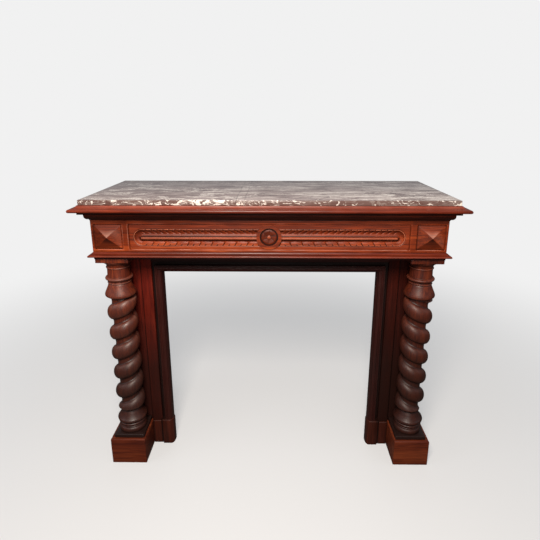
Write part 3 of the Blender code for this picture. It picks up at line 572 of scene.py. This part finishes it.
def frieze_boards():
    """The front board with two square fields and the long one, and a field on each side."""
    low, high = FRIEZE_LOW, FRIEZE_HIGH
    top, bottom = MIDDLE + FIELD_HALF, MIDDLE - FIELD_HALF
    stops = [low.x, -SQUARE_OUTER, -SQUARE_INNER, -LONG_END, LONG_END, SQUARE_INNER, SQUARE_OUTER, high.x]
    xs = grid_lines(stops, 0.01, 0.0005, 0.0040)
    zs = grid_lines([low.z, bottom, top, high.z], 0.004, 0.0005, 0.0040)
    x, z = np.meshgrid(xs, zs)
    square = (SQUARE_INNER, bottom), (SQUARE_OUTER, top)
    long = (-LONG_END, bottom), (LONG_END, top)
    sill = (-LONG_END + FIELD_SLOPE, bottom + FIELD_SLOPE), (LONG_END - FIELD_SLOPE, top - FIELD_SLOPE)
    deep = sunk(np.abs(x), z, *square, FIELD_SLOPE, FIELD_DEPTH)
    deep = np.maximum(deep, sunk(x, z, *long, FIELD_SLOPE, FIELD_DEPTH))
    well = sunk(x, z, *sill, 0.0006, WELL_DEPTH)
    # level slopes are worn pale, and so is the upright one right of the left field. The rest are painted
    # dark, a painted shade
    pale = (np.abs(z - MIDDLE) > FIELD_HALF - 0.0040) | (np.abs(x + SQUARE_INNER + 0.0016) < 0.0030)
    patchy = (0.55 + 0.45 * ripple(x, z, 9)) * np.where(pale, 1.0, -1.0)
    hollow = hollow_of(-deep, 4, 0.0026) - 0.55 * slope_wear_and_shade(deep, FIELD_DEPTH) * patchy
    # painted shadow of the cornice over the top of the frieze
    hollow = hollow + 0.34 * smooth((z - high.z + 0.020) / 0.014)
    # painted shade: the flat board darker towards its ends, beyond the long field
    hollow = hollow + 0.16 * smooth((np.abs(x) - LONG_END) / 0.006) * (deep < 0.0001)
    # painted shade fills the foot of each upright slope, as wide as given, but for the pale one
    line = 0.0
    for place, wide in ((-SQUARE_OUTER + 0.0044, 0.0020), (-LONG_END + 0.0042, 0.0020),
                        (LONG_END - 0.0042, 0.0020), (SQUARE_INNER + 0.0044, 0.0022),
                        (SQUARE_OUTER - 0.0044, 0.0016)):
        line = line + np.exp(-((x - place) / wide) ** 2)
    hollow = hollow + 0.60 * np.minimum(line, 1) * (deep > 0.0004)
    # dusters have worn the arrises over each field, and beside it where the slope isn't dark
    edge = np.maximum(within(np.abs(x), z, *square), within(x, z, *long))
    seen = (z > top - 0.0030) | (np.abs(x + SQUARE_INNER) < 0.0030) | (np.abs(x + LONG_END) < 0.0030)
    hollow = hollow - 0.5 * seen * (0.6 + 0.4 * ripple(x, z, 41)) * np.exp(-((edge + 0.0009) / 0.0010) ** 2)
    deep = deep + well + arris(x, z, (low.x, low.z), (high.x, high.z), 0.0012)
    front = np.stack([x, FACE + deep + 0.00015 * (1 + ripple(x, z, 5)) * (deep < 0.0001), z], axis=-1)
    plate("fine_frieze_front", front, 1, high.y, "frieze_front", finish["frieze_x"],
          hollow)
    for side, word in ((-1, "left"), (1, "right")):
        node = f"frieze_{word}"
        near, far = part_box(node)
        start, end = near.y + SIDE_MARGIN, far.y - SIDE_MARGIN
        y, z = np.meshgrid(grid_lines([near.y, start, end, far.y], 0.01, 0.0005, 0.0040), zs)
        deep = sunk(y, z, (start, bottom), (end, top), FIELD_SLOPE, FIELD_DEPTH)
        patchy = 0.55 + 0.45 * ripple(y, z, 9)
        hollow = hollow_of(-deep, 4, 0.0026) - 0.55 * slope_wear_and_shade(deep, FIELD_DEPTH) * patchy
        deep = deep + arris(y, z, (near.y, near.z), (far.y, far.z), 0.0008)
        face = np.stack([side * (HALF - deep), y, z], axis=-1)
        plate(f"fine_{node}", face, 0, side * (HALF - BACKING), node, finish["frieze_y"],
              hollow)


def long_panel():
    """The carved panel: two nicked channels and a plain bead inside a stadium with a fine rim.

    o is the distance in from the stadium's edge. The rim is a half round over RIM_WIDE. t is the
    distance from the rim over the sum of the distances from the rim and from the bead, so it runs
    from 0 to 1. A channel is as deep as a sine over t plus an even fall to the bead's foot.
    Leaning nicks cut the rim and the channel's outer slope: close together above, and below twice
    as far apart with a short one between. The bead is a half ellipse, cut a little low.
    """
    reach = PANEL_HIGH.x - BAND_MARGIN - BAND_RADIUS
    xs = spread(PANEL_LOW.x, PANEL_HIGH.x, 0.00105)
    zs = spread(PANEL_LOW.z, PANEL_HIGH.z, 0.00085)
    x, z = np.meshgrid(xs, zs)
    up = z - MIDDLE + BAND_DROP
    above = up > 0
    beyond = np.maximum(np.abs(x) - reach, 0.0)
    o = BAND_RADIUS - np.hypot(beyond, up)
    from_bead = np.hypot(beyond, up + BEAD_DROP)
    from_rim, from_foot = np.maximum(o - RIM_WIDE, 0), np.maximum(from_bead - BEAD_HALF - 0.0010, 1e-6)
    t = from_rim / (from_rim + from_foot)
    channel = CHANNEL_DEEP * np.sin(np.pi * t) ** 0.85 + BEAD_FOOT * smooth(t)
    rim = 0.0007 * np.sqrt(np.clip(1 - (2 * o / RIM_WIDE - 1) ** 2, 0, 1))
    outline = np.exp(-((o + 0.0002) / 0.0009) ** 2)
    count = (np.abs(x) + np.where(above, UPPER_LEAN, LOWER_LEAN) * o - NICK_FIRST) / NICK_PITCH
    long_nick = np.abs(count - np.round(count)) * NICK_PITCH
    short_nick = np.abs(count + 0.5 - np.round(count + 0.5)) * NICK_PITCH
    straight = smooth((reach + 0.004 - np.abs(x)) / 0.006) * smooth((o - 0.0002) / 0.0008)
    cut = np.exp(-(long_nick / 0.0017) ** 2) * smooth((np.where(above, 0.80, 0.85) - t) / 0.30)
    fade = np.where(above, smooth((0.70 - t) / 0.30), smooth((0.22 - t) / 0.15))
    cut = np.maximum(cut, np.exp(-(short_nick / 0.0016) ** 2) * fade) * straight
    apart = NICK_PITCH * np.where(above, 0.25, 0.5)
    leaf = np.minimum(long_nick, np.where(above, short_nick, 1.0)) / apart
    swell = 0.0016 * smooth(leaf) * straight * np.sin(np.pi * np.clip(t / 0.7, 0, 1))
    bead = BEAD_FOOT * np.sqrt(np.clip(1 - (from_bead / BEAD_HALF) ** 2, 0, 1))
    deep = np.where(o > 0, channel - rim - swell, 0.0) + 0.0014 * outline + 0.0034 * cut
    deep = np.where(from_bead < BEAD_HALF, BEAD_FOOT - bead * 1.35, deep)
    quirk = np.exp(-((from_bead - BEAD_HALF - 0.0007) / 0.0016) ** 2)
    deep = deep + 0.0022 * quirk
    # painted shade in the nicks, the quirks beside the bead and the outline of the band
    hollow = hollow_of(-deep, 3, 0.0020) + 0.95 * cut + 0.90 * quirk + 0.65 * outline
    # painted shade on the outer slope of the upper channel and the inner slope of the lower one
    dim = np.where(above, 0.20 * smooth((0.30 - t) / 0.20), 0.55 * smooth((t - 0.55) / 0.25))
    hollow = hollow + dim * (o > RIM_WIDE)
    # a painted highlight along the top of the bead
    hollow = np.where(from_bead < BEAD_HALF - 0.0018, -0.35, hollow)
    rubbed = (o > 0) & (o < RIM_WIDE) & (cut < 0.3)
    hollow = hollow - 0.60 * rubbed * (0.5 + 0.5 * ripple(x * 2, z * 2, 17))
    deep = deep + arris(x, z, (PANEL_LOW.x, PANEL_LOW.z), (PANEL_HIGH.x, PANEL_HIGH.z), 0.0007)
    deep = deep + 0.0001 * (1 + ripple(x, z * 4, 11))
    # it is cut away behind the roundel, so that the bead ends at the ring
    behind = np.hypot(x, z - MIDDLE) < ROUNDEL_RADIUS - 0.0030
    deep = np.where(behind, np.maximum(deep, ROUNDEL_HIGH.y - 0.0003 - PANEL_LOW.y), deep)
    front = np.stack([x, PANEL_LOW.y + deep, z], axis=-1)
    plate("fine_frieze_panel", front, 1, PANEL_HIGH.y, "frieze_panel", finish["carved"],
          hollow)


def roundel():
    """A flat ring round a hollow with a flower in it, as a height over the polar grid.

    The flower is a low dome between the bud and the rim, with shallow lines that swirl with the
    radius between its petals, and the bud is a half ball.
    """
    outer = ROUNDEL_RADIUS
    ring_in = outer - 0.0125
    rim = ring_in - 0.0042
    bud = 0.0074
    r = np.concatenate([[outer], spread(outer - 0.0001, 0.0004, 0.00045)])
    t = np.linspace(0, TAU, 257)[:-1]
    radius, angle = np.meshgrid(r, t, indexing="ij")
    ring = 0.0047 * smooth((outer - radius) / 0.0009 + 0.45) * smooth((radius - ring_in) / 0.0012)
    span = np.clip((rim - radius) / (rim - bud), 0, 1)
    dome = np.sqrt(np.clip(1 - (1 - np.minimum(span / 0.45, 1)) ** 2, 0, 1)) * (1 - 0.45 * smooth(span))
    swirl = angle * 6 / TAU + 0.5 + (radius - bud) * 9
    edge = np.abs(swirl - np.round(swirl))
    line = np.exp(-(edge * radius / 0.0013) ** 2) * (radius < rim)
    petal = dome * (0.92 + 0.08 * smooth(edge / 0.4)) * (1 - 0.12 * line)
    ball = np.sqrt(np.clip(1 - (radius / bud) ** 2, 0, 1))
    height = np.maximum(np.maximum(ring, 0.0048 * petal), 0.0050 * ball)
    seat = ROUNDEL_HIGH.y - 0.0006
    face = seat - height * (seat - ROUNDEL_LOW.y) / height.max()
    rings = np.stack([radius * np.cos(angle), face, MIDDLE + radius * np.sin(angle)], axis=-1)
    base = rings[:1].copy()
    base[..., 1] = ROUNDEL_HIGH.y
    rings = np.concatenate([base, rings])
    # painted shade in the groove inside the ring, round the bud and along the lines between the petals, the
    # whole flower painted darker, and a painted highlight on the bud
    groove = smooth((ring_in + 0.0006 - radius) / 0.0010) * smooth((radius - rim + 0.0010) / 0.0012)
    around_bud = np.exp(-((radius - bud) / 0.0012) ** 2)
    flower = (0.40 + 0.22 * line + 0.25 * around_bud) * (radius < rim) * (radius > bud - 0.0004)
    hollow = 0.5 * hollow_of(height, 5, 0.0020) + flower + 0.9 * groove - 0.25 * (radius < bud - 0.0010)
    tube("fine_roundel", rings, "roundel", finish["carved"],
         np.concatenate([hollow[:1], hollow]))


def diamonds():
    """Four-sided points: height falls evenly with the larger of the two offsets from the middle.

    The left facet and the foot of the lower one are painted darker than the other two, a painted
    shade; the upper facet is painted paler towards the point, a painted highlight, and the border
    darker, a painted shade.
    """
    for word in ("left", "right"):
        node = f"diamond_{word}"
        low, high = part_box(node)
        a = np.linspace(-1, 1, 97)
        u, v = np.meshgrid(a, a)
        far = (np.abs(u) ** 26 + np.abs(v) ** 26) ** (1 / 26)
        rim = 0.0018
        height = rim + (high.y - low.y - rim) * np.clip(1 - far, 0, 1)
        x = (low.x + high.x) / 2 + u * (high.x - low.x) / 2
        z = (low.z + high.z) / 2 + v * (high.z - low.z) / 2
        front = np.stack([x, high.y - height, z], axis=-1)
        side_share = smooth((np.abs(u) - np.abs(v)) / 0.05 + 0.5)
        leftward = side_share * (u < 0) * (0.40 if word == "left" else 0.30)
        rightward = side_share * (u > 0) * -0.04
        upward = (1 - side_share) * (v > 0) * (0.24 - 0.75 * smooth(1 - far) * (far < 0.9))
        downward = (1 - side_share) * (v < 0) * (0.44 + 0.36 * smooth((0.75 - far) / 0.7))
        mottle = 0.08 * ripple(x * 1.5, z * 1.5, 31)
        border = 0.35 * smooth((far - 0.95) / 0.04)
        hollow = leftward + rightward + upward + downward + mottle + border
        plate(f"fine_{node}", front, 1, high.y, node, finish["frieze_x"], hollow,
              crease=30)


def ellipse(place, middle, half, foot, full):
    """Radius of a turned bead: an ellipse from foot to full over middle plus or minus half."""
    rise = np.sqrt(np.clip(1 - ((place - middle) / half) ** 2, 0, 1))
    return np.where(np.abs(place - middle) <= half, foot + (full - foot) * rise, 0.0)


def turned_foot(up):
    """Radius above the pad: a fat, a thin and a middling bead, a rimmed ring and a hollow curve."""
    groove = COLLAR_RADIUS - 0.0087
    body = np.interp(up, (0, 0.041, 0.0455, 0.0500, 0.0535, 0.0580, 0.0620, 0.0665, 0.0705, 0.0755,
                          0.0805, FOOT_TALL),
                     (groove, groove, 0.0532, 0.0558, 0.0566, 0.0550, 0.0512, 0.0478, 0.0452, 0.0424,
                      0.0400, CORE_RADIUS))
    for middle, half, cut in ((0.0112, 0.0106, 0.0030), (0.0262, 0.0030, 0.0062), (0.0360, 0.0062, 0.0034)):
        body = np.maximum(body, ellipse(up, middle, half, groove - 0.001, COLLAR_RADIUS - cut))
    return body


def turned_head(down):
    """Radius under the abacus: ovolo, thin bead, neck, astragal, thin bead and the bell collar."""
    body = np.interp(down, (0, 0.003, 0.0060, 0.0095, 0.0130, 0.0175, 0.024, 0.045, 0.065, 0.080, 0.091,
                            0.0950, 0.1010, 0.1070, 0.1130, 0.1190, 0.1250, 0.1308, 0.1350, 0.1385,
                            0.1412, 0.1435, HEAD_TALL),
                     (0.0575, 0.0569, 0.0548, 0.0500, 0.0452, 0.0422, 0.0400, 0.0402, 0.0412, 0.0392,
                      0.0388, 0.0410, 0.0430, 0.0454, 0.0480, 0.0507, 0.0534, 0.0555, 0.0560, 0.0550,
                      0.0520, 0.0470, CORE_RADIUS))
    for middle, half, full in ((0.0286, 0.0034, 0.0432), (0.0710, 0.0070, 0.0495),
                               (0.0880, 0.0028, 0.0428)):
        body = np.maximum(body, ellipse(down, middle, half, 0.0380, full))
    return body


def column(word):
    """One column as a radius over height and angle.

    The twist's radius is the core's plus STRAND_HEIGHT times a half round in the phase, with a
    softened foot. The phase is height over pitch minus the angle in turns. The squares are a half
    side over the 60-norm of the direction.
    """
    side = -1 if word == "left" else 1
    node = f"column_{word}"
    low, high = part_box(node)
    axis_x, axis_y = (low.x + high.x) / 2, (low.y + high.y) / 2
    half = (high.x - low.x) / 2
    pad_top, abacus = low.z + ABACUS_THICK, high.z - ABACUS_THICK
    bottom, top = pad_top + FOOT_TALL, abacus - HEAD_TALL
    t = np.linspace(0, TAU, 129)[:-1]
    square = 1 / (np.abs(np.cos(t)) ** 60 + np.abs(np.sin(t)) ** 60) ** (1 / 60)

    def slab(start, end):
        """Heights and radii of a square with eased edges, from one level to the other."""
        ease = np.array([0.0, 0.0004, 0.0012])
        middle = spread(start + ease[-1], end - ease[-1], 0.003)[1:-1]
        place = np.concatenate([start + ease, middle, (end - ease)[::-1]])
        drawn = np.concatenate([ease[::-1], np.zeros(len(middle)), ease])
        return place, (half - drawn)[:, None] * square

    foot_z = spread(pad_top, bottom, 0.0005)
    head_z = spread(top, abacus, 0.0007)
    twist_z = spread(bottom, top, 0.0015)[1:-1]
    share = np.minimum(1.0, np.minimum((top - twist_z) / 0.010, (twist_z - bottom) / 0.020))[:, None]
    phase = (twist_z[:, None] - top) / TWIST_PITCH - t / TAU + STRAND_PHASE[word] + 0.5
    place = (phase + 0.5) % 1.0 - 0.5
    inside = 1 - (place / STRAND_SHARE) ** 2
    swell = np.sqrt((np.sqrt(inside ** 2 + 0.006) + inside) / 2)
    twist = CORE_RADIUS + smooth(share) * STRAND_HEIGHT * swell
    parts = [slab(low.z, pad_top), (foot_z, turned_foot(foot_z - pad_top)[:, None] + 0 * t),
             (twist_z, twist), (head_z, turned_head(abacus - head_z)[:, None] + 0 * t),
             slab(abacus, high.z)]
    z = np.concatenate([p[0] for p in parts])[:, None] + 0 * t
    radius = np.concatenate([p[1] for p in parts])
    angle = t + 0 * z
    turned = (z > pad_top) & (z < abacus)
    radius = radius + 0.0002 * ripple(z, angle * 0.05, 21 + side) * turned
    rings = np.stack([axis_x - side * radius * np.cos(angle), axis_y + radius * np.sin(angle), z], axis=-1)
    # painted shade in the valleys of the twist and the turnings, the pad painted nearly black and the
    # abacus a little darker
    hollow = hollow_of(np.where(turned, radius, COLLAR_RADIUS), 8, 0.0026)
    hollow = np.where(z < pad_top + 0.0001, 0.95, np.where(z > abacus - 0.0001, 0.10, hollow))
    tube(f"fine_{node}", rings, node, finish[node], hollow, crease=50)


def surround_section():
    """Moulding round the opening as (out, depth): a finely reeded quarter round and a reeded flat."""
    wide, back, reed_high = 0.0435, 0.034, 0.0014
    turn = np.linspace(0, TAU / 4, 40)
    edge = np.stack([0.014 * (1 - np.cos(turn)), 0.027 * (1 - np.sin(turn))], axis=-1)
    edge[:, 1] += 0.0010 * np.abs(np.sin(turn * 8)) * (turn > 0.1)
    share = np.linspace(0, 1, 40)
    reed = reed_high * np.abs(np.sin(share * np.pi * 3)) ** 0.6
    face = np.stack([0.0142 + 0.0156 * share, reed_high - reed], axis=-1)
    return np.concatenate([[(0.0, back)], edge, face,
                           [(0.030, 0.0), (0.0302, 0.020), (wide, 0.020), (wide, back)]])


def surround():
    """The moulding on both sides and over the opening, mitred at its top corners."""
    section = surround_section()
    low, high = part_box("surround_left")
    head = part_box("surround_top")[0].z
    opening, joint = -high.x, 0.0003
    out, deep = section[:, 0], low.y + section[:, 1]
    # painted shade in the hollows of the reeds and the step behind the reeded flat, and the reeds' crests
    # paler
    wax_and_painted_light = hollow_of(np.repeat(-section[:, 1][None, :], 3, axis=0), 3, 0.0009)[1]
    wax_and_painted_light = np.where(out > 0.0301, 0.85, np.clip(wax_and_painted_light, -0.6, 0.9))
    for side, word in ((-1, "left"), (1, "right")):
        x = side * (opening + out)
        start = np.stack([x, deep, np.full_like(out, low.z)], axis=-1)
        end = np.stack([x, deep, head - joint + out], axis=-1)
        rings = start + (end - start) * spread(0, 1, 0.02)[:, None, None]
        tube(f"fine_surround_{word}", rings, f"surround_{word}", finish["surround"],
             np.broadcast_to(wax_and_painted_light, rings.shape[:2]), crease=45)
    ends = [np.stack([s * (opening + out), deep, head + out], axis=-1) for s in (-1, 1)]
    rings = ends[0] + (ends[1] - ends[0]) * spread(0, 1, 0.02)[:, None, None]
    tube("fine_surround_top", rings, "surround_top", finish["surround_x"],
         np.broadcast_to(wax_and_painted_light, rings.shape[:2]), crease=45)


def surround_feet():
    """Feet of the moulding: a block with the same rounded inner edge, a soft top and a tongue.

    The tongue lies behind the dark groove between the foot and its neighbour and closes it.
    """
    for side, word in ((-1, "left"), (1, "right")):
        node = f"surround_foot_{word}"
        low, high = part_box(node)
        width, depth = high.x - low.x, high.y - low.y
        tongue = 0.006
        turn = np.linspace(0, TAU / 4, 14)
        edge = np.stack([0.016 * (1 - np.cos(turn)), 0.028 * (1 - np.sin(turn))], axis=-1)
        section = np.concatenate([[(0.0, depth)], edge, [
            (width - 0.0015, 0.0), (width, 0.0015), (width, 0.007), (width + tongue, 0.0072),
            (width + tongue, depth)]])
        # painted shade on the tongue in the groove, and a little on the inner edge
        wax_and_painted_light = np.where(section[:, 0] > width - 0.0001, 0.8, np.where(section[:, 0] < 0.002, 0.25, 0.0))
        drawn = [0.0012, 0.0, 0.0, 0.0007, 0.0022, 0.0050]
        level = [low.z, low.z + 0.0012, high.z - 0.0050, high.z - 0.0022, high.z - 0.0007, high.z]
        rings = []
        for inset, z in zip(drawn, level):
            out = np.clip(section[:, 0], inset, width + tongue)
            deep = np.clip(section[:, 1], inset, depth)
            x = high.x - out if side < 0 else low.x + out
            rings.append(np.stack([x, low.y + deep, np.full_like(out, z)], axis=-1))
        rings = np.array(rings)
        tube(f"fine_{node}", rings, node, finish["foot"],
             np.broadcast_to(wax_and_painted_light, rings.shape[:2]))


def boards():
    """The slab, the blocks and the plain boards."""
    block("marble_top", 0, 0.0022, (0.0022, 0.0022), finish["marble"], 0.0)
    block("soffit_board", 0, 0.0012, (0.0012, 0.0012), finish["lintel"])
    block("lintel", 0, 0.0008, (0.0005, 0.0005), finish["lintel"])
    for word in ("left", "right"):
        block(f"plinth_{word}", 2, 0.0025, (0.0015, 0.0050), finish["plinth"])
        # the right boards take the darker board finish, a painted shade
        board = finish["jamb" if word == "left" else "jamb_painted_shade"]
        block(f"pilaster_{word}", 2, 0.0014, (0.0008, 0.0008), board)
        block(f"pilaster_foot_{word}", 2, 0.0022, (0.0012, 0.0030), finish["foot"])
        block(f"back_board_{word}", 2, 0.0010, (0.0005, 0.0005), board)
        block(f"return_board_{word}", 2, 0.0014, (0.0012, 0.0005), finish["jamb"])


def studio():
    """A pale floor and a pale sky that give little light back, soft lamps and the camera."""
    mesh = bpy.data.meshes.new("studio_floor")
    t = np.linspace(0, TAU, 65)[:-1]
    rim = np.stack([60 * np.cos(t), 60 * np.sin(t), 0 * t - 0.0004], axis=-1)
    mesh.from_pydata(rim.tolist(), [], [list(range(len(t)))])
    paint, tree, _ = blank("matt_white_paint")
    seen = add(tree, "ShaderNodeLightPath", (), "Is Camera Ray")
    tone = add(tree, "ShaderNodeMix", {0: seen, 6: shade("#585654"), 7: shade("#c9c9c9")}, 2,
               data_type="RGBA")
    matt = add(tree, "ShaderNodeBsdfDiffuse", {"Color": tone})
    glow = add(tree, "ShaderNodeEmission", {"Color": shade("#f1f1f1")})
    place = add(tree, "ShaderNodeTexCoord", (), "Object")
    away = add(tree, "ShaderNodeVectorMath", (place,), "Value", operation="LENGTH")
    far = add(tree, "ShaderNodeMapRange", (away, 0.8, 3.0, 0.45, 1.0), interpolation_type="SMOOTHSTEP")
    both = add(tree, "ShaderNodeMath", (far, seen), operation="MULTIPLY")
    cover = add(tree, "ShaderNodeMixShader", (both, matt, glow))
    tree.links.new(cover, tree.nodes["Material Output"].inputs["Surface"])
    mesh.materials.append(paint)
    floor = bpy.data.objects.new("studio_floor", mesh)
    bpy.context.scene.collection.objects.link(floor)

    world = bpy.data.worlds.new("soft_daylight")
    world.use_nodes = True
    tree = world.node_tree
    seen = add(tree, "ShaderNodeLightPath", (), "Is Camera Ray")
    sky = add(tree, "ShaderNodeMix", {0: seen, 6: shade("#8b8d90"), 7: shade("#f1f1f1")}, 2,
              data_type="RGBA")
    tree.links.new(sky, tree.nodes["Background"].inputs["Color"])
    bpy.context.scene.world = world

    # name, place, turn, size, watts and colour of each lamp
    lamps = (("front_lamp", (-0.15, -1.62, 2.10), (0.87, 0.0, -0.08), 0.6, 76.0, "#fff3e6"),
             ("low_lamp", (0.0, -2.7, 1.45), (1.45, 0.0, 0.0), 1.0, 15.0, "#fff6ee"),
             ("left_lamp", (-3.1, -1.2, 2.3), (1.08, 0.0, -1.2), 1.8, 20.0, "#f4f7ff"),
             ("right_lamp", (3.1, -1.0, 2.3), (1.08, 0.0, 1.26), 1.8, 9.0, "#f4f7ff"),
             ("back_lamp", (0.0, 2.4, 3.3), (0.80, 0.0, TAU / 2), 2.4, 14.0, "#f4f7ff"))
    for name, place, turn, size, power, colour in lamps:
        light = bpy.data.lights.new(name, "AREA")
        light.size, light.energy, light.color = size, power, shade(colour)[:3]
        lamp = bpy.data.objects.new(name, light)
        lamp.location, lamp.rotation_euler = place, turn
        bpy.context.scene.collection.objects.link(lamp)

    bpy.context.scene.view_settings.view_transform = "Standard"
    view = bpy.data.cameras.new("camera")
    view.sensor_width = 36.0
    view.lens = 28.33
    view.shift_x = -0.0041
    view.shift_y = -0.0704
    camera = bpy.data.objects.new("camera", view)
    camera.location = (0.0268, -1.6176, 1.3436)
    camera.rotation_euler = (TAU / 4 - 0.2604, 0.0, 0.011)
    bpy.context.scene.collection.objects.link(camera)
    bpy.context.scene.camera = camera


head_mouldings()
frieze_boards()
long_panel()
roundel()
diamonds()
for word in ("left", "right"):
    column(word)
surround()
surround_feet()
boards()
studio()
